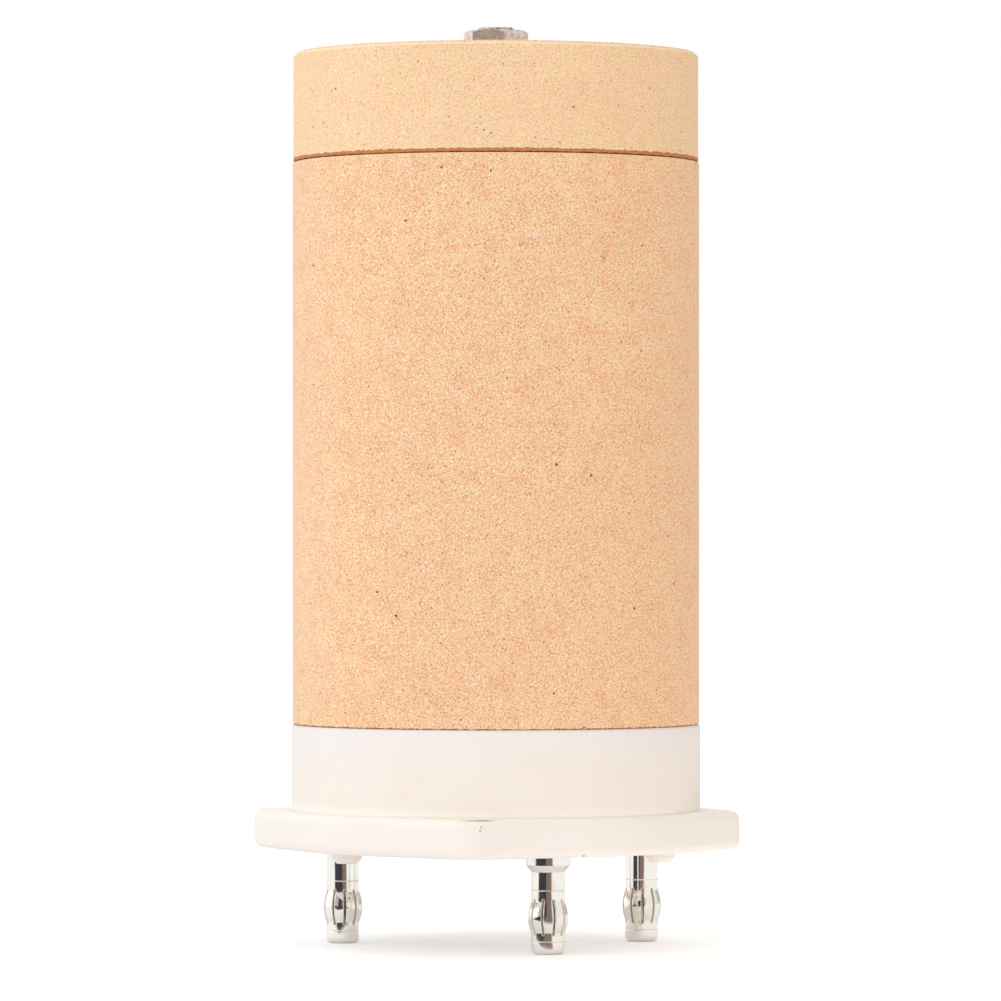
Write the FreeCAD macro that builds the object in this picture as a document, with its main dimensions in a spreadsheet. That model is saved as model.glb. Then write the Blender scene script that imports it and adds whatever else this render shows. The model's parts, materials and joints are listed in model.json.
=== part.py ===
import FreeCAD, Part
import Sketcher
import math
import os
import re

# Plug-in heating element of a hot-air tool, in millimetres. It stands on the tips of its three plug pins:
# z = 0 is the plane of the tips, the tie rod is the Z axis, and the front plug pin stands towards -Y.

V = FreeCAD.Vector
Z_UP = V(0, 0, 1)

doc = FreeCAD.newDocument("heating_element")
sheet = doc.addObject("Spreadsheet::Sheet", "Sizes")

SIZES = [
    ("blockRadius", 24.72, "heater block, outside"),
    ("blockHeight", 68.25, "heater block"),
    ("capStep", 0.1, "end cap inside the block's outline"),
    ("capHeight", 13.25, "end cap"),
    ("capTopChamfer", 0.4, "end cap, top corner"),
    ("jointChamfer", 0.2, "corner of each ceramic face at a joint line"),
    ("capRecessDepth", 2.0, "wire space under the end cap"),
    ("rimWidth", 2.12, "rim round the wire spaces, from the block's outline"),
    ("landGap", 1.5, "inner channels to the land round the tie rod"),
    ("collarStep", 0.13, "collar of the base past the block's outline"),
    ("collarHeight", 10.4, "collar above the flange"),
    ("baseRecessDepth", 3.2, "wire space in the top of the collar"),
    ("flangeThickness", 4.7, "flange"),
    ("flangeProud", 0.95, "flange past the collar, between its ears"),
    ("flangeEdge", 1.1, "rounding of the flange's edges"),
    ("earCount", 4, "ears that centre the element in its tube"),
    ("earProud", 3.85, "tip of an ear past the flange"),
    ("earTipRadius", 3, "rounding of the tip of an ear"),
    ("earAngle", 83.6, "direction of the rear ear"),
    ("nubRadius", 1.8, "moulded nub under the flange"),
    ("nubHeight", 1.5, "moulded nub under the flange"),
    ("nubEdge", 0.6, "chamfer at the end of a nub"),
    ("leftNubInset", 6.5, "left nub from the flange's outline"),
    ("leftNubAngle", -158.7, "direction of the left nub"),
    ("rightNubInset", 5.6, "right nub from the flange's outline"),
    ("rightNubAngle", -10, "direction of the right nub"),
    ("channelRadius", 2.7, "air channel"),
    ("channelWall", 1, "least ceramic between a channel of the base and a pocket or nub"),
    ("outerCount", 16, "channels in the outer ring"),
    ("outerInset", 5.32, "outer channels from the block's outline"),
    ("outerStart", -14, "direction of the first outer channel"),
    ("innerCount", 8, "channels in the inner ring"),
    ("ringStep", 7.8, "inner channels from the outer ring"),
    ("innerStart", 4.5, "direction of the first inner channel"),
    ("rodRadius", 2, "M4 tie rod"),
    ("rodClearance", 0.2, "tie rod in the ceramic, all round"),
    ("rodProud", 0.5, "peened end of the tie rod above the top nut"),
    ("rodPeen", 0.18, "swell of the peened end"),
    ("rodEdge", 0.3, "corner at the lower end of the tie rod and the top of a stud"),
    ("threadGap", 0.03, "rod or stud in its nut, all round"),
    ("washerClearance", 0.15, "rod or stud in a washer or tag, all round"),
    ("nutFlats", 7, "M4 nut, across flats"),
    ("topNutHeight", 2.2, "thin M4 nut on the end cap"),
    ("topNutAngle", 15, "turn of the top nut"),
    ("topWasherRadius", 4, "washer under the top nut"),
    ("topWasherThickness", 0.6, "washer under the top nut"),
    ("bottomNutHeight", 2.4, "M4 nut under the base"),
    ("bottomWasherRadius", 4.5, "washer under the base"),
    ("bottomWasherThickness", 0.8, "washer under the base"),
    ("bottomPocketClearance", 0.6, "washer in the pocket under the base, all round"),
    ("bottomPocketMargin", 0.5, "rod past its nut, and pocket past the rod"),
    ("pinInset", 5.85, "plug pins from the collar's outline"),
    ("frontPinAngle", -71, "direction of the front pin"),
    ("rightPinAngle", 20, "direction of the right pin"),
    ("leftPinAngle", 170, "direction of the left pin"),
    ("shoulderRadius", 2.7, "pin shoulder under the flange"),
    ("shoulderHeight", 1.1, "shoulder of the front pin"),
    ("taperHeight", 0.8, "cone from the front pin's shoulder to its shank"),
    ("sideShoulderHeight", 0.7, "shoulder of the right and left pins, which have no cone"),
    ("shankRadius", 2, "4 mm shank"),
    ("shankHeight", 2.2, "front pin's shank above its cage"),
    ("coreRadius", 1.35, "pin inside its cage"),
    ("tipHeight", 1.5, "solid tip under the cage"),
    ("tipEdge", 0.6, "rounded end of the tip"),
    ("studRadius", 2, "M4 stud through the base"),
    ("studClearance", 0.2, "stud in the base, all round"),
    ("studProud", 0.6, "stud above its nut"),
    ("upperRingHeight", 1.35, "upper ring of the cage"),
    ("leafHeight", 3.65, "spring leaves of the cage"),
    ("lowerRingHeight", 1.1, "lower ring of the cage"),
    ("cageWall", 0.3, "sheet of the cage"),
    ("cageGap", 0.35, "pin core to the rings of the cage, all round"),
    ("leafRise", 0.4, "swell of the leaves over the rings"),
    ("leafCount", 10, "spring leaves"),
    ("slotWidth", 0.3, "slot between two leaves"),
    ("slotOverlap", 0.3, "slot past the leaves, into each ring"),
    ("cageTurn", 18, "turn of a cage on its pin"),
    ("pocketRadius", 4.4, "pocket for a stud's nut"),
    ("pocketDepth", 4.6, "pocket below the wire space"),
    ("studWasherRadius", 4, "washer on a stud"),
    ("studWasherThickness", 0.7, "washer on a stud"),
    ("studNutHeight", 3.2, "M4 nut on a stud"),
    ("tagThickness", 0.5, "sheet of a terminal tag"),
    ("tagWidth", 1.8, "upright tab of a tag"),
    ("tagClearance", 0.1, "flat of the nut to the tab"),
    ("coilClearance", 0.3, "wound coil in its channel, all round"),
    ("wireRadius", 0.45, "crossover and lead wire"),
    ("wireLift", 0.75, "crossover wire off the block's end face"),
    ("leadLift", 1.85, "lead wire below the block"),
    ("wireStop", 0.2, "lead wire to its tag"),
]

# Radii, heights and fits that follow from the sizes above.
SEATS = [
    ("capRadius", "blockRadius - capStep"),
    ("recessRadius", "blockRadius - rimWidth"),
    ("outerRing", "blockRadius - outerInset"),
    ("innerRing", "outerRing - ringStep"),
    ("bossRadius", "innerRing - channelRadius - landGap"),
    ("collarRadius", "blockRadius + collarStep"),
    ("flangeRadius", "collarRadius + flangeProud"),
    ("earReach", "flangeRadius + earProud"),
    ("leftNubReach", "flangeRadius - leftNubInset"),
    ("rightNubReach", "flangeRadius - rightNubInset"),
    ("pinRing", "collarRadius - pinInset"),
    ("cageHeight", "upperRingHeight + leafHeight + lowerRingHeight"),
    ("cageTopZ", "tipHeight + cageHeight"),
    ("pinDrop", "cageTopZ + shankHeight + taperHeight + shoulderHeight"),
    ("baseHeight", "flangeThickness + collarHeight"),
    ("blockZ", "pinDrop + baseHeight"),
    ("capZ", "blockZ + blockHeight"),
    ("topWasherZ", "capZ + capHeight"),
    ("topNutZ", "topWasherZ + topWasherThickness"),
    ("rodTopZ", "topNutZ + topNutHeight + rodProud"),
    ("rodBottomZ", "pinDrop + bottomPocketMargin"),
    ("bottomNutZ", "rodBottomZ + bottomPocketMargin"),
    ("bottomWasherZ", "bottomNutZ + bottomNutHeight"),
    ("bottomPocketDepth", "bottomWasherZ + bottomWasherThickness - pinDrop"),
    ("bottomPocketRadius", "bottomWasherRadius + bottomPocketClearance"),
    ("rodBore", "rodRadius + rodClearance"),
    ("studBore", "studRadius + studClearance"),
    ("recessFloor", "baseHeight - baseRecessDepth"),
    ("pocketFloor", "recessFloor - pocketDepth"),
    ("studWasherZ", "pinDrop + pocketFloor"),
    ("tagZ", "studWasherZ + studWasherThickness"),
    ("studNutZ", "tagZ + tagThickness"),
    ("studTopZ", "studNutZ + studNutHeight + studProud"),
    ("cageRadius", "coreRadius + cageGap + cageWall"),
    ("coilRadius", "channelRadius - coilClearance"),
    ("tagReach", "nutFlats / 2 + tagClearance"),
    ("leadZ", "blockZ - leadLift"),
    ("tagTopZ", "leadZ + wireRadius"),
]

row = 0
for alias, number, note in SIZES:
    row += 1
    sheet.set(f"A{row}", note)
    sheet.set(f"B{row}", str(number))
    sheet.setAlias(f"B{row}", alias)
for alias, formula in SEATS:
    row += 1
    sheet.set(f"A{row}", alias)
    sheet.set(f"B{row}", "=" + formula)
    sheet.setAlias(f"B{row}", alias)
doc.recompute()

ALIASES = {line[0] for line in SIZES} | {line[0] for line in SEATS}


def cells(formula):
    """Writes a formula on the sheet's names so that any object of the document can hold it."""
    return re.sub(r"[A-Za-z]\w*", lambda m: "Sizes." + m[0] if m[0] in ALIASES else m[0], formula)


def value(formula):
    """The number that a formula on the sheet's names gives now."""
    result = sheet.evalExpression(cells(formula))
    return float(getattr(result, "Value", result))


def bind(obj, path, formula):
    obj.setExpression(path, cells(formula))


def new_body(name, z, angle="0", reach="0"):
    """A body whose own z = 0 stands at height z, at a reach from the axis in the direction of an angle."""
    body = doc.addObject("PartDesign::Body", name)
    body.Label = name
    body.Placement = FreeCAD.Placement(V(0, 0, value(z)), FreeCAD.Rotation(Z_UP, value(angle)))
    bind(body, "Placement.Base.x", f"({reach}) * cos({angle})")
    bind(body, "Placement.Base.y", f"({reach}) * sin({angle})")
    bind(body, "Placement.Base.z", z)
    bind(body, "Placement.Rotation.Angle", angle)
    return body


def new_sketch(body, role, z="0", angle="0"):
    """A sketch on one of the body's own planes, raised by z and turned by an angle."""
    plane = next(f for f in body.Origin.OriginFeatures if f.Role == role)
    sketch = body.newObject("Sketcher::SketchObject", body.Name + "_sketch")
    sketch.AttachmentSupport = [(plane, "")]
    sketch.MapMode = "FlatFace"
    sketch.AttachmentOffset = FreeCAD.Placement(V(0, 0, value(z)), FreeCAD.Rotation(Z_UP, value(angle)))
    bind(sketch, "AttachmentOffset.Base.z", z)
    bind(sketch, "AttachmentOffset.Rotation.Angle", angle)
    return sketch


def dimension(sketch, formula, kind, *targets):
    """A driving dimension that follows a formula."""
    index = sketch.addConstraint(Sketcher.Constraint(kind, *targets, value(formula)))
    name = f"size{index}"
    sketch.renameConstraint(index, name)
    bind(sketch, "Constraints." + name, formula)


def hold(sketch, geometry, point, x, y):
    """Keeps a point of the sketch at x, y, each a formula; a zero keeps it on the axis."""
    for kind, formula, axis in (("DistanceX", x, -2), ("DistanceY", y, -1)):
        if formula == "0":
            sketch.addConstraint(Sketcher.Constraint("PointOnObject", geometry, point, axis))
        else:
            dimension(sketch, formula, kind, -1, 1, geometry, point)


def outline(sketch, corners):
    """A closed outline of (x, y) corners; a third entry bows the edge that follows outwards by that rise."""
    places = [V(value(c[0]), value(c[1]), 0) for c in corners]
    count = len(corners)
    ends = []
    for i, corner in enumerate(corners):
        a = places[i]
        b = places[(i + 1) % count]
        if len(corner) == 2:
            sketch.addGeometry(Part.LineSegment(a, b), False)
            ends.append((1, 2))
            continue
        rise = value(corner[2])
        half = abs(b.y - a.y) / 2
        radius = (half ** 2 + rise ** 2) / (2 * rise)
        centre = V(a.x + rise - radius, (a.y + b.y) / 2, 0)
        sweep = math.asin(half / radius)
        circle = Part.Circle(centre, Z_UP, radius)
        sketch.addGeometry(Part.ArcOfCircle(circle, -sweep, sweep), False)
        ends.append((1, 2) if b.y > a.y else (2, 1))
    for i in range(count):
        j = (i + 1) % count
        sketch.addConstraint(Sketcher.Constraint("Coincident", i, ends[i][1], j, ends[j][0]))
    for i, corner in enumerate(corners):
        hold(sketch, i, ends[i][0], corner[0], corner[1])
    for i, corner in enumerate(corners):
        if len(corner) == 3:
            half = f"(({corners[(i + 1) % count][1]} - ({corner[1]})) / 2)"
            dimension(sketch, f"({half} ^ 2 + ({corner[2]}) ^ 2) / (2 * ({corner[2]}))", "Radius", i)


def circle(sketch, x, y, radius):
    """A circle whose centre and radius are formulas."""
    index = sketch.addGeometry(Part.Circle(V(value(x), value(y), 0), Z_UP, value(radius)), False)
    hold(sketch, index, 3, x, y)
    dimension(sketch, radius, "Radius", index)


def turned(body, corners, kind="Revolution"):
    """Turns an outline of (radius, height) corners about the body's axis, to add it or to cut it away."""
    sketch = new_sketch(body, "XZ_Plane")
    outline(sketch, corners)
    feature = body.newObject("PartDesign::" + kind, body.Name + "_turned")
    feature.Profile = sketch
    feature.ReferenceAxis = (sketch, ["V_Axis"])
    feature.Angle = 360
    body.Tip = feature
    return feature


def cut(body, sketch, depth=None):
    """Cuts a sketch downwards through the body, or to a depth."""
    pocket = body.newObject("PartDesign::Pocket", body.Name + "_cut")
    pocket.Profile = sketch
    if depth:
        pocket.Type = "Length"
        bind(pocket, "Length", depth)
    else:
        pocket.Type = "ThroughAll"
    body.Tip = pocket
    return pocket


def repeat(body, feature, sketch, count):
    """Repeats a feature evenly all round the axis that its sketch stands on."""
    pattern = body.newObject("PartDesign::PolarPattern", body.Name + "_ring")
    pattern.Originals = [feature]
    pattern.Axis = (sketch, ["N_Axis"])
    pattern.Angle = 360
    bind(pattern, "Occurrences", count)
    body.Tip = pattern
    return pattern


def dressed(body, kind, size, wanted):
    """Rounds or chamfers the edges of the body that pass a test."""
    doc.recompute()
    tip = body.Tip
    edges = [f"Edge{i}" for i, edge in enumerate(tip.Shape.Edges, 1) if wanted(edge)]
    edging = body.newObject("PartDesign::" + kind, body.Name + "_edges")
    edging.Base = (tip, edges)
    bind(edging, "Radius" if kind == "Fillet" else "Size", size)
    body.Tip = edging


def at_height(edge, z):
    """True for an edge that lies wholly at one height."""
    return abs(edge.BoundBox.ZMin - z) < 0.001 and abs(edge.BoundBox.ZMax - z) < 0.001


def channel_rings(body, top):
    """Cuts both rings of air channels down through a disc."""
    for start, ring, count in (
        ("outerStart", "outerRing", "outerCount"),
        ("innerStart", "innerRing", "innerCount"),
    ):
        sketch = new_sketch(body, "XY_Plane", top, start)
        circle(sketch, ring, "0", "channelRadius")
        repeat(body, cut(body, sketch), sketch, count)


PINS = {"front": "frontPinAngle", "right": "rightPinAngle", "left": "leftPinAngle"}
NUBS = [("leftNubReach", "leftNubAngle"), ("rightNubReach", "rightNubAngle")]
OUTER_ANGLES = [f"outerStart + {i} * 360 / outerCount" for i in range(round(value("outerCount")))]
INNER_ANGLES = [f"innerStart + {i} * 360 / innerCount" for i in range(round(value("innerCount")))]
OUTER = [("outerRing", angle) for angle in OUTER_ANGLES]
INNER = [("innerRing", angle) for angle in INNER_ANGLES]


def spot(reach, angle, z="0"):
    """A point at a reach from the axis, in the direction of an angle."""
    turn = math.radians(value(angle))
    return V(value(reach) * math.cos(turn), value(reach) * math.sin(turn), value(z))


# Heater block: a plain extruded cylinder with both rings of channels and the bore for the tie rod.
block = new_body("main_block", "blockZ")
turned(block, [
    ("rodBore", "0"),
    ("blockRadius - jointChamfer", "0"),
    ("blockRadius", "jointChamfer"),
    ("blockRadius", "blockHeight - jointChamfer"),
    ("blockRadius - jointChamfer", "blockHeight"),
    ("rodBore", "blockHeight"),
])
channel_rings(block, "blockHeight")

# End cap: it closes the wire space over the block, and the air leaves through it.
cap = new_body("end_cap", "capZ")
turned(cap, [
    ("rodBore", "0"),
    ("bossRadius", "0"),
    ("bossRadius", "capRecessDepth"),
    ("recessRadius", "capRecessDepth"),
    ("recessRadius", "0"),
    ("capRadius - jointChamfer", "0"),
    ("capRadius", "jointChamfer"),
    ("capRadius", "capHeight - capTopChamfer"),
    ("capRadius - capTopChamfer", "capHeight"),
    ("rodBore", "capHeight"),
])
channel_rings(cap, "capHeight")

# Base: flange with four ears, collar, wire space, pockets for the studs' nuts and two nubs, in one piece.
base = new_body("base_flange", "pinDrop")
disc_sketch = new_sketch(base, "XY_Plane")
circle(disc_sketch, "0", "0", "flangeRadius")
disc = base.newObject("PartDesign::Pad", "base_disc")
disc.Profile = disc_sketch
bind(disc, "Length", "flangeThickness")
base.Tip = disc

# An ear runs from the axis to its rounded tip; its flanks touch the disc's circle.
ear_sketch = new_sketch(base, "XY_Plane", "0", "earAngle")
tip_centre = V(value("earReach - earTipRadius"), 0, 0)
flank = math.acos(value("(flangeRadius - earTipRadius) / (earReach - earTipRadius)"))
side = V(math.cos(flank), math.sin(flank), 0)
mirror = V(side.x, -side.y, 0)
disc_end = side * value("flangeRadius")
disc_start = mirror * value("flangeRadius")
tip_end = tip_centre + side * value("earTipRadius")
tip_start = tip_centre + mirror * value("earTipRadius")
tip_circle = Part.Circle(tip_centre, Z_UP, value("earTipRadius"))
ear_sketch.addGeometry([
    Part.LineSegment(V(0, 0, 0), disc_start),
    Part.LineSegment(disc_start, tip_start),
    Part.ArcOfCircle(tip_circle, -flank, flank),
    Part.LineSegment(tip_end, disc_end),
    Part.LineSegment(disc_end, V(0, 0, 0)),
], False)
ear_sketch.addConstraint([
    Sketcher.Constraint("Coincident", 0, 1, -1, 1),
    Sketcher.Constraint("Coincident", 4, 2, -1, 1),
    Sketcher.Constraint("Coincident", 0, 2, 1, 1),
    Sketcher.Constraint("Coincident", 3, 2, 4, 1),
    Sketcher.Constraint("Tangent", 1, 2, 2, 1),
    Sketcher.Constraint("Tangent", 2, 2, 3, 1),
    Sketcher.Constraint("Perpendicular", 0, 1),
    Sketcher.Constraint("Perpendicular", 3, 4),
    Sketcher.Constraint("Equal", 0, 4),
])
hold(ear_sketch, 2, 3, "earReach - earTipRadius", "0")
dimension(ear_sketch, "earTipRadius", "Radius", 2)
dimension(ear_sketch, "flangeRadius", "Distance", 0)
ear = base.newObject("PartDesign::Pad", "base_ear")
ear.Profile = ear_sketch
bind(ear, "Length", "flangeThickness")
base.Tip = ear
repeat(base, ear, ear_sketch, "earCount")
FLANGE_FACES = (0, value("flangeThickness"))
dressed(base, "Fillet", "flangeEdge", lambda edge: any(at_height(edge, z) for z in FLANGE_FACES))

turned(base, [
    ("0", "flangeThickness / 2"),
    ("collarRadius", "flangeThickness / 2"),
    ("collarRadius", "baseHeight - jointChamfer"),
    ("collarRadius - jointChamfer", "baseHeight"),
    ("0", "baseHeight"),
])
turned(base, [
    ("bossRadius", "recessFloor"),
    ("recessRadius", "recessFloor"),
    ("recessRadius", "baseHeight"),
    ("bossRadius", "baseHeight"),
], "Groove")
turned(base, [
    ("0", "0"),
    ("bottomPocketRadius", "0"),
    ("bottomPocketRadius", "bottomPocketDepth"),
    ("rodBore", "bottomPocketDepth"),
    ("rodBore", "baseHeight"),
    ("0", "baseHeight"),
], "Groove")

for angle in PINS.values():
    bore_sketch = new_sketch(base, "XY_Plane", "baseHeight", angle)
    circle(bore_sketch, "pinRing", "0", "studBore")
    cut(base, bore_sketch)
    pocket_sketch = new_sketch(base, "XY_Plane", "baseHeight", angle)
    circle(pocket_sketch, "pinRing", "0", "pocketRadius")
    cut(base, pocket_sketch, "baseRecessDepth + pocketDepth")


def is_clear(channel):
    """True where a channel leaves enough ceramic round the pockets and the nubs."""
    centre = spot(*channel)
    reach = value("channelRadius + channelWall")
    pockets = [spot("pinRing", angle) for angle in PINS.values()]
    near_pocket = any((pocket - centre).Length < reach + value("pocketRadius") for pocket in pockets)
    near_nub = any((spot(*nub) - centre).Length < reach + value("nubRadius") for nub in NUBS)
    return not (near_pocket or near_nub)


air_sketch = new_sketch(base, "XY_Plane", "baseHeight")
for ring, angle in filter(is_clear, OUTER + INNER):
    circle(air_sketch, f"{ring} * cos({angle})", f"{ring} * sin({angle})", "channelRadius")
cut(base, air_sketch)

for reach, angle in NUBS:
    nub_sketch = new_sketch(base, "XY_Plane", "0", angle)
    circle(nub_sketch, reach, "0", "nubRadius")
    nub = base.newObject("PartDesign::Pad", "base_nub")
    nub.Profile = nub_sketch
    nub.Reversed = True
    bind(nub, "Length", "nubHeight")
    base.Tip = nub
dressed(base, "Chamfer", "nubEdge", lambda edge: at_height(edge, -value("nubHeight")))

# Tie rod: it clamps the stack, and its top end is peened over the nut.
rod = new_body("tie_rod", "rodBottomZ")
turned(rod, [
    ("0", "0"),
    ("rodRadius - rodEdge", "0"),
    ("rodRadius", "rodEdge"),
    ("rodRadius", "rodTopZ - rodBottomZ - rodProud"),
    ("rodRadius + rodPeen", "rodTopZ - rodBottomZ - rodProud"),
    ("rodRadius + rodPeen", "rodTopZ - rodBottomZ - rodProud / 2"),
    ("rodRadius - rodEdge", "rodTopZ - rodBottomZ"),
    ("0", "rodTopZ - rodBottomZ"),
])


def washer(name, z, bore, radius, thickness, angle="0", reach="0"):
    """A flat washer."""
    body = new_body(name, z, angle, reach)
    turned(body, [(bore, "0"), (radius, "0"), (radius, thickness), (bore, thickness)])


def nut(name, z, bore, height, angle="0", reach="0"):
    """A hexagon nut with a flat towards its own +X and its upper corners chamfered at 30 degrees."""
    body = new_body(name, z, angle, reach)
    sketch = new_sketch(body, "XY_Plane")
    corner = "nutFlats / sqrt(3)"
    outline(sketch, [
        ("nutFlats / 2", f"-{corner} / 2"),
        ("nutFlats / 2", f"{corner} / 2"),
        ("0", corner),
        ("-nutFlats / 2", f"{corner} / 2"),
        ("-nutFlats / 2", f"-{corner} / 2"),
        ("0", f"-{corner}"),
    ])
    circle(sketch, "0", "0", bore)
    pad = body.newObject("PartDesign::Pad", name + "_pad")
    pad.Profile = sketch
    bind(pad, "Length", height)
    body.Tip = pad
    turned(body, [
        ("nutFlats / 2", height),
        (corner, f"{height} - ({corner} - nutFlats / 2) * tan(30)"),
        (corner, height),
    ], "Groove")


ROD_HOLE = "rodRadius + washerClearance"
STUD_HOLE = "studRadius + washerClearance"
washer("top_washer", "topWasherZ", ROD_HOLE, "topWasherRadius", "topWasherThickness")
nut("top_nut", "topNutZ", "rodRadius + threadGap", "topNutHeight", "topNutAngle")
washer("bottom_washer", "bottomWasherZ", ROD_HOLE, "bottomWasherRadius", "bottomWasherThickness")
nut("bottom_nut", "bottomNutZ", "rodRadius + threadGap", "bottomNutHeight")

# The front pin's shoulder runs down into its shank as a cone; the others have a thin flat one.
FRONT_SHOULDER = [
    ("shankRadius", "cageTopZ + shankHeight"),
    ("shoulderRadius", "pinDrop - shoulderHeight"),
]
SIDE_SHOULDER = [
    ("shankRadius", "pinDrop - sideShoulderHeight"),
    ("shoulderRadius", "pinDrop - sideShoulderHeight"),
]

for place, angle in PINS.items():
    # Plug pin: rounded tip, core, 4 mm shank and shoulder, then the stud through the base.
    pin = new_body("plug_pin_" + place, "0", angle, "pinRing")
    turned(pin, [
        ("0", "0"),
        ("shankRadius", "0"),
        ("shankRadius", "tipHeight"),
        ("coreRadius", "tipHeight"),
        ("coreRadius", "cageTopZ"),
        ("shankRadius", "cageTopZ"),
        *(FRONT_SHOULDER if place == "front" else SIDE_SHOULDER),
        ("shoulderRadius", "pinDrop"),
        ("studRadius", "pinDrop"),
        ("studRadius", "studTopZ - rodEdge"),
        ("studRadius - rodEdge", "studTopZ"),
        ("0", "studTopZ"),
    ])
    dressed(pin, "Fillet", "tipEdge", lambda edge: at_height(edge, 0))

    # Spring cage: a thin sleeve that swells between its two rings and is slotted into leaves.
    cage = new_body("spring_cage_" + place, "tipHeight", angle, "pinRing")
    bind(cage, "Placement.Rotation.Angle", f"{angle} + cageTurn")
    turned(cage, [
        ("cageRadius - cageWall", "0"),
        ("cageRadius", "0"),
        ("cageRadius", "lowerRingHeight", "leafRise"),
        ("cageRadius", "lowerRingHeight + leafHeight"),
        ("cageRadius", "cageHeight"),
        ("cageRadius - cageWall", "cageHeight"),
        ("cageRadius - cageWall", "lowerRingHeight + leafHeight", "leafRise"),
        ("cageRadius - cageWall", "lowerRingHeight"),
    ])
    slot_sketch = new_sketch(cage, "XZ_Plane")
    slot_bottom = "lowerRingHeight - slotOverlap"
    slot_top = "lowerRingHeight + leafHeight + slotOverlap"
    outline(slot_sketch, [
        ("-slotWidth / 2", slot_bottom),
        ("slotWidth / 2", slot_bottom),
        ("slotWidth / 2", slot_top),
        ("-slotWidth / 2", slot_top),
    ])
    slot = cut(cage, slot_sketch)
    axis_sketch = new_sketch(cage, "XY_Plane")
    repeat(cage, slot, axis_sketch, "leafCount")

    # Washer, tag and nut hold the stud in the base; the tag's tab points to the axis of the element.
    seat = (angle, "pinRing")
    washer("stud_washer_" + place, "studWasherZ", STUD_HOLE, "studWasherRadius", "studWasherThickness", *seat)
    nut("stud_nut_" + place, "studNutZ", "studRadius + threadGap", "studNutHeight", *seat)
    tag = new_body("terminal_tag_" + place, "tagZ", *seat)
    turned(tag, [
        (STUD_HOLE, "0"),
        ("tagReach", "0"),
        ("tagReach", "tagThickness"),
        (STUD_HOLE, "tagThickness"),
    ])
    tab_sketch = new_sketch(tag, "XY_Plane")
    outline(tab_sketch, [
        ("-tagReach - tagThickness", "-tagWidth / 2"),
        ("-tagReach", "-tagWidth / 2"),
        ("-tagReach", "tagWidth / 2"),
        ("-tagReach - tagThickness", "tagWidth / 2"),
    ])
    tab = tag.newObject("PartDesign::Pad", "tag_tab")
    tab.Profile = tab_sketch
    bind(tab, "Length", "tagTopZ - tagZ")
    neck_sketch = new_sketch(tag, "XY_Plane")
    outline(neck_sketch, [
        ("-tagReach", "-tagWidth / 2"),
        ("-studRadius - washerClearance", "-tagWidth / 2"),
        ("-studRadius - washerClearance", "tagWidth / 2"),
        ("-tagReach", "tagWidth / 2"),
    ])
    neck = tag.newObject("PartDesign::Pad", "tag_neck")
    neck.Profile = neck_sketch
    bind(neck, "Length", "tagThickness")
    tag.Tip = neck


def flat_wire(start, end, z):
    """A wire between two points, squared off, with its underside at height z."""
    wire = value("wireRadius")
    along = (V(end.x, end.y, 0) - V(start.x, start.y, 0)).normalize() * wire
    across = V(-along.y, along.x, 0)
    first = V(start.x, start.y, z) - along
    last = V(end.x, end.y, z)
    corners = [first - across, last - across, last + across, first + across, first - across]
    return Part.Face(Part.makePolygon(corners)).extrude(V(0, 0, 2 * wire))


def coil(name, route, first_pin, last_pin):
    """One circuit: a wound coil in each channel of its route, crossovers at both ends, and a lead to each tag."""
    wire = value("wireRadius")
    radius = value("coilRadius")
    top = value("capZ + wireLift - wireRadius")
    bottom = value("blockZ - wireLift + wireRadius")
    lead = value("leadZ + wireRadius")
    bars = []
    for k, channel in enumerate(route):
        low = lead if k in (0, len(route) - 1) else bottom
        foot = spot(*channel)
        foot.z = low
        bars.append(Part.makeCylinder(radius, top - low, foot, Z_UP))
        if k:
            bars.append(flat_wire(spot(*route[k - 1]), foot, top if k % 2 else bottom - 2 * wire))
    for channel, pin_angle in ((route[0], first_pin), (route[-1], last_pin)):
        # The lead stops beside the tab, or at its outer face when the channel stands behind it.
        turn = FreeCAD.Rotation(Z_UP, value(pin_angle))
        start = spot(*channel)
        beside = turn.inverted().multVec(start).y
        tab = value("pinRing - tagReach")
        stop = V(tab - value("tagThickness") / 2, math.copysign(value("tagWidth / 2 + wireStop"), beside), 0)
        if abs(beside) < radius:
            stop = V(tab + value("wireStop"), 0, 0)
        bars.append(flat_wire(start, turn.multVec(stop), lead - 2 * wire))
    feature = doc.addObject("Part::Feature", name)
    feature.Label = name
    feature.Shape = bars[0].multiFuse(bars[1:]).removeSplitter()
    feature.Placement = FreeCAD.Placement()
    return feature


def halves(ring):
    """The channels of a ring on one side of the element, and those on the other in the opposite order."""
    middle = len(ring) // 2
    return ring[:middle], ring[:middle - 1:-1]


def zigzag(outer, inner):
    """Visits two outer channels for each inner one, from one end of the half ring to the other."""
    route = []
    for k, channel in enumerate(inner):
        route += [outer[2 * k], channel, outer[2 * k + 1]]
    return route


right_outer, left_outer = halves(OUTER)
right_inner, left_inner = halves(INNER)
coil("heating_coil_a", zigzag(right_outer, right_inner), PINS["right"], PINS["left"])
coil("heating_coil_b", zigzag(left_outer, left_inner), PINS["front"], PINS["left"])

doc.recompute()
pieces = [o for o in doc.Objects if o.TypeId == "PartDesign::Body" or o.Name.startswith("heating_coil")]
for obj in doc.Objects:
    if "Invalid" in obj.State or "Error" in obj.State:
        raise RuntimeError(f"{obj.Label} did not build: {obj.State}")
for piece in pieces:
    if piece.Shape.isNull() or not piece.Shape.isValid():
        raise RuntimeError(f"{piece.Label} has no sound shape")

os.makedirs("parts", exist_ok=True)
for piece in pieces:
    piece.Shape.exportStep(f"parts/{piece.Label}.step")
    print(f"{piece.Label}: {len(piece.Shape.Solids)} solid, {piece.Shape.Volume:.1f} mm3")
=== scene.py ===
import json
import math

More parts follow.
